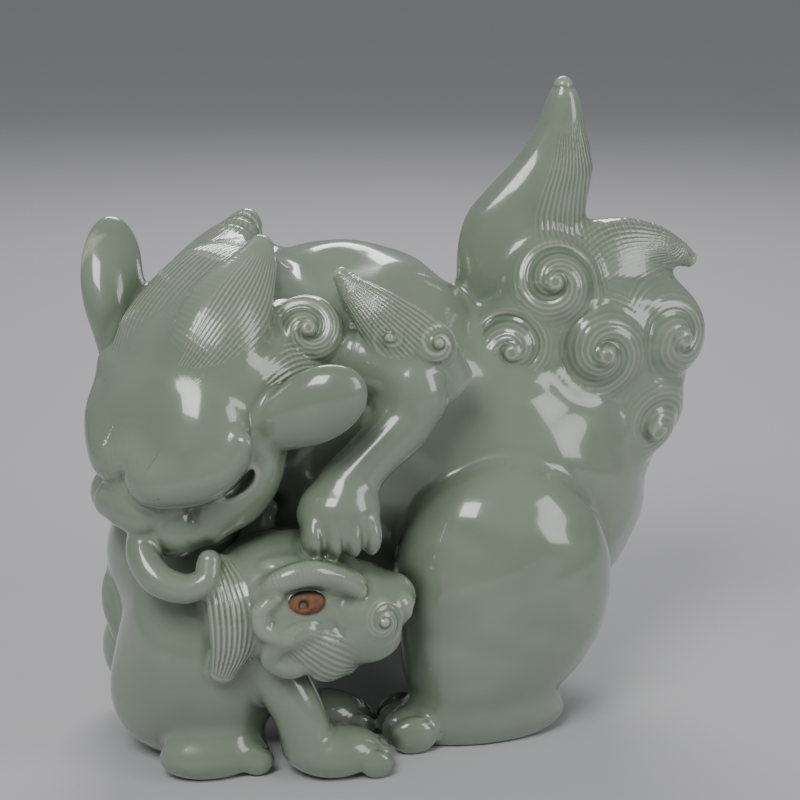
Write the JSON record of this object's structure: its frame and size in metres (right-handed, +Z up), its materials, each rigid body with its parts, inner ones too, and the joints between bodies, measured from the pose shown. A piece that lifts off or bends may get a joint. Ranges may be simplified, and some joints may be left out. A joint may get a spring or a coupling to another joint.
{
  "type": "porcelain foo dog statue",
  "caption": "Celadon glazed porcelain foo dog crouching over its cub, with an upright flame tail, spiral mane curls and paws on the cub.",
  "frame": {"origin": "middle of the group's box, on the plane it rests on", "axes": "+X from the head towards the tail, +Y to the lion's right, +Z up"},
  "size_m": [0.2314, 0.1515, 0.229],
  "materials": {
    "celadon_glaze": "thick glossy celadon glaze over white porcelain, darker where it pools and paler on ridges",
    "iron_biscuit": "unglazed iron-brown biscuit eye with a dark pierced pupil"
  },
  "bodies": {
    "root": {"arm_left": "celadon_glaze", "arm_right": "celadon_glaze", "body_shell": "celadon_glaze", "crown_hair": "celadon_glaze", "crown_tuft_left": "celadon_glaze", "crown_tuft_right": "celadon_glaze", "cub_body": "celadon_glaze", "cub_cheek_tuft": "celadon_glaze", "cub_ear_left": "celadon_glaze", "cub_ear_right": "celadon_glaze", "cub_eye_left": "iron_biscuit", "cub_eye_right": "iron_biscuit", "cub_foreleg_left": "celadon_glaze", "cub_foreleg_right": "celadon_glaze", "cub_head": "celadon_glaze", "cub_hind_leg_left": "celadon_glaze", "cub_hind_leg_right": "celadon_glaze", "cub_mane": "celadon_glaze", "cub_nose": "celadon_glaze", "cub_tail": "celadon_glaze", "ear_left": "celadon_glaze", "ear_right": "celadon_glaze", "elbow_tuft_left": "celadon_glaze", "elbow_tuft_right": "celadon_glaze", "eye_left": "celadon_glaze", "eye_right": "celadon_glaze", "flank_curl_1": "celadon_glaze", "flank_curl_2": "celadon_glaze", "flank_curl_3": "celadon_glaze", "flank_curl_4": "celadon_glaze", "flank_fringe": "celadon_glaze", "forehead": "celadon_glaze", "head_shell": "celadon_glaze", "hind_foot_left": "celadon_glaze", "hind_foot_right": "celadon_glaze", "lower_jaw": "celadon_glaze", "mane_left": "celadon_glaze", "mane_right_1": "celadon_glaze", "mane_right_2": "celadon_glaze", "mane_right_3": "celadon_glaze", "mane_right_4": "celadon_glaze", "muzzle": "celadon_glaze", "paw_left": "celadon_glaze", "paw_right": "celadon_glaze", "tail_core": "celadon_glaze", "tail_curl_left_1": "celadon_glaze", "tail_curl_left_2": "celadon_glaze", "tail_curl_left_3": "celadon_glaze", "tail_curl_left_4": "celadon_glaze", "tail_curl_left_5": "celadon_glaze", "tail_curl_right_1": "celadon_glaze", "tail_curl_right_2": "celadon_glaze", "tail_curl_right_3": "celadon_glaze", "tail_curl_right_4": "celadon_glaze", "tail_curl_right_5": "celadon_glaze", "tail_plume": "celadon_glaze", "tail_side_flame": "celadon_glaze", "thigh_left": "celadon_glaze", "thigh_right": "celadon_glaze"}
  },
  "joints": []
}
